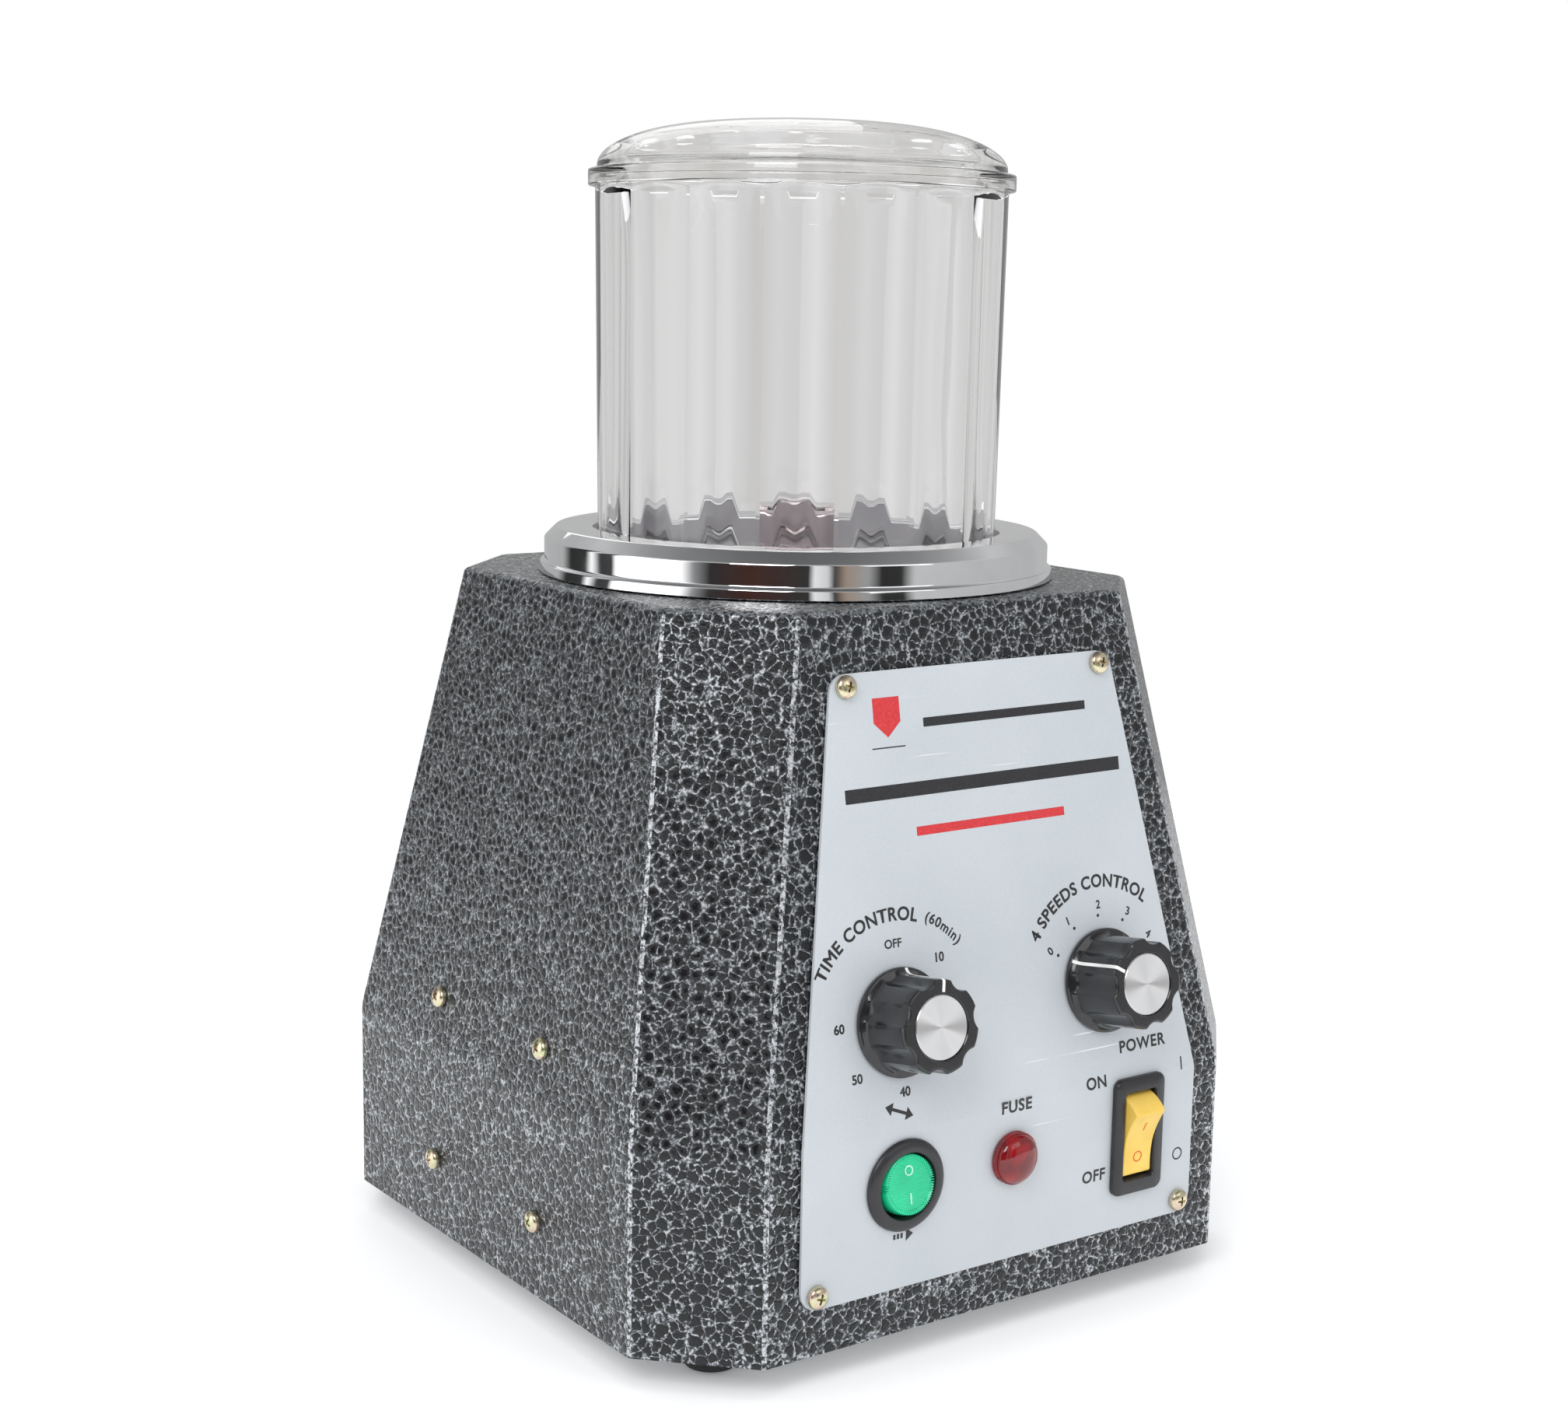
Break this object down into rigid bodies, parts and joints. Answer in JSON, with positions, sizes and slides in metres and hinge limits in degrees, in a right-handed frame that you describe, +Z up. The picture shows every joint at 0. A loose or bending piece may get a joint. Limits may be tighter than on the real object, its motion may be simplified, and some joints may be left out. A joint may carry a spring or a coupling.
{
  "type": "magnetic tumbler",
  "caption": "Bench-top magnetic tumbler: clear lidded bowl in a chromed seat on a tapered black hammered-steel housing, with knobs, rocker switches and a fuse on a grey front plate.",
  "frame": {"origin": "on the bench, under the middle of the whole outline; the housing's own vertical axis is 6.2 mm behind it", "axes": "+Z up, -Y the front with the controls, +X to the right seen from the front"},
  "size_m": [0.1948, 0.204, 0.299],
  "materials": {
    "hammer_paint": "black and silver hammered enamel, glossy",
    "plate_paint": "pale silver-grey enamel on sheet, satin",
    "chrome": "bright plating on moulded plastic",
    "clear_plastic": "clear moulded plastic",
    "black_plastic": "black moulded plastic",
    "yellow_plastic": "satin yellow plastic",
    "green_plastic": "translucent green plastic",
    "red_plastic": "translucent red plastic",
    "rubber": "matt black rubber",
    "yellow_zinc": "yellow zinc-plated steel",
    "bright_steel": "ground steel",
    "zinc_steel": "zinc-plated sheet steel",
    "aluminium": "turned aluminium",
    "magnet_nickel": "nickel-plated magnet",
    "ferrite": "sintered ferrite",
    "copper": "copper windings on a steel core",
    "carbon": "pressed carbon",
    "board_green": "glass-fibre circuit board",
    "glass": "clear glass tube"
  },
  "bodies": {
    "housing": {"housing_shell": "hammer_paint", "base_plate": "zinc_steel", "foot_front_left": "rubber", "foot_front_right": "rubber", "foot_rear_left": "rubber", "foot_rear_right": "rubber", "control_plate": "plate_paint", "plate_screw_lower_left": "yellow_zinc", "plate_screw_lower_right": "yellow_zinc", "plate_screw_upper_left": "yellow_zinc", "plate_screw_upper_right": "yellow_zinc", "side_screw_left_lower_front": "yellow_zinc", "side_screw_left_lower_rear": "yellow_zinc", "side_screw_left_upper_front": "yellow_zinc", "side_screw_left_upper_rear": "yellow_zinc", "side_screw_right_lower_front": "yellow_zinc", "side_screw_right_lower_rear": "yellow_zinc", "side_screw_right_upper_front": "yellow_zinc", "side_screw_right_upper_rear": "yellow_zinc", "bowl_seat": "chrome", "mains_inlet": "black_plastic", "motor_bracket": "zinc_steel", "motor_can": "zinc_steel", "motor_end_bell": "zinc_steel", "bearing_upper": "bright_steel", "bearing_lower": "bright_steel", "field_magnet": "ferrite", "brush_left": "carbon", "brush_right": "carbon", "motor_screw_left": "yellow_zinc", "motor_screw_right": "yellow_zinc", "timer_body": "zinc_steel", "timer_nut": "zinc_steel", "speed_switch_body": "black_plastic", "speed_nut": "zinc_steel", "power_switch_body": "black_plastic", "direction_switch_body": "black_plastic", "fuse_holder": "black_plastic", "control_board": "board_green"},
    "rotor": {"rotor_shaft": "bright_steel", "armature": "copper", "commutator": "copper", "fan": "black_plastic", "magnet_disc": "aluminium", "disc_magnet_1": "magnet_nickel", "disc_magnet_2": "magnet_nickel", "disc_magnet_3": "magnet_nickel", "disc_magnet_4": "magnet_nickel"},
    "bowl": {"bowl": "clear_plastic"},
    "lid": {"lid": "clear_plastic"},
    "timer_knob": {"timer_knob": "black_plastic", "timer_knob_cap": "aluminium", "timer_shaft": "bright_steel"},
    "speed_knob": {"speed_knob": "black_plastic", "speed_knob_cap": "aluminium", "speed_shaft": "bright_steel"},
    "power_rocker": {"power_rocker": "yellow_plastic"},
    "direction_rocker": {"direction_rocker": "green_plastic"},
    "fuse": {"glass_fuse": "glass"},
    "fuse_cap": {"fuse_cap": "red_plastic"}
  },
  "joints": [
    {"name": "lid_lift", "type": "slide", "parent": "bowl", "child": "lid", "axis": [0, 0, 1], "range_m": [0, 0.12]},
    {"name": "bowl_lift", "type": "slide", "parent": "housing", "child": "bowl", "axis": [0, 0, 1], "range_m": [0, 0.15]},
    {"name": "rotor_spin", "type": "hinge", "parent": "housing", "child": "rotor", "pos_m": [0, 0.00617, 0.17], "axis": [0, 0, 1], "continuous": true},
    {"name": "timer_turn", "type": "hinge", "parent": "housing", "child": "timer_knob", "pos_m": [-0.0319, -0.08287, 0.08432], "axis": [0, 0.9853, -0.171], "range_deg": [0, 270]},
    {"name": "speed_turn", "type": "hinge", "parent": "housing", "child": "speed_knob", "pos_m": [0.0335, -0.08279, 0.08481], "axis": [0, 0.9853, -0.171], "range_deg": [0, 120]},
    {"name": "power_rock", "type": "hinge", "parent": "housing", "child": "power_rocker", "pos_m": [0.0425, -0.08543, 0.0441], "axis": [-1, 0, 0], "range_deg": [0, 30]},
    {"name": "direction_rock", "type": "hinge", "parent": "housing", "child": "direction_rocker", "pos_m": [-0.0327, -0.08704, 0.0455], "axis": [1, 0, 0], "range_deg": [0, 20]},
    {"name": "fuse_pull", "type": "slide", "parent": "housing", "child": "fuse", "axis": [0, -1, 0], "range_m": [0, 0.035]},
    {"name": "fuse_cap_turn", "type": "hinge", "parent": "fuse", "child": "fuse_cap", "pos_m": [0.001, -0.08733, 0.0459], "axis": [0, -1, 0], "range_deg": [0, 90]}
  ]
}
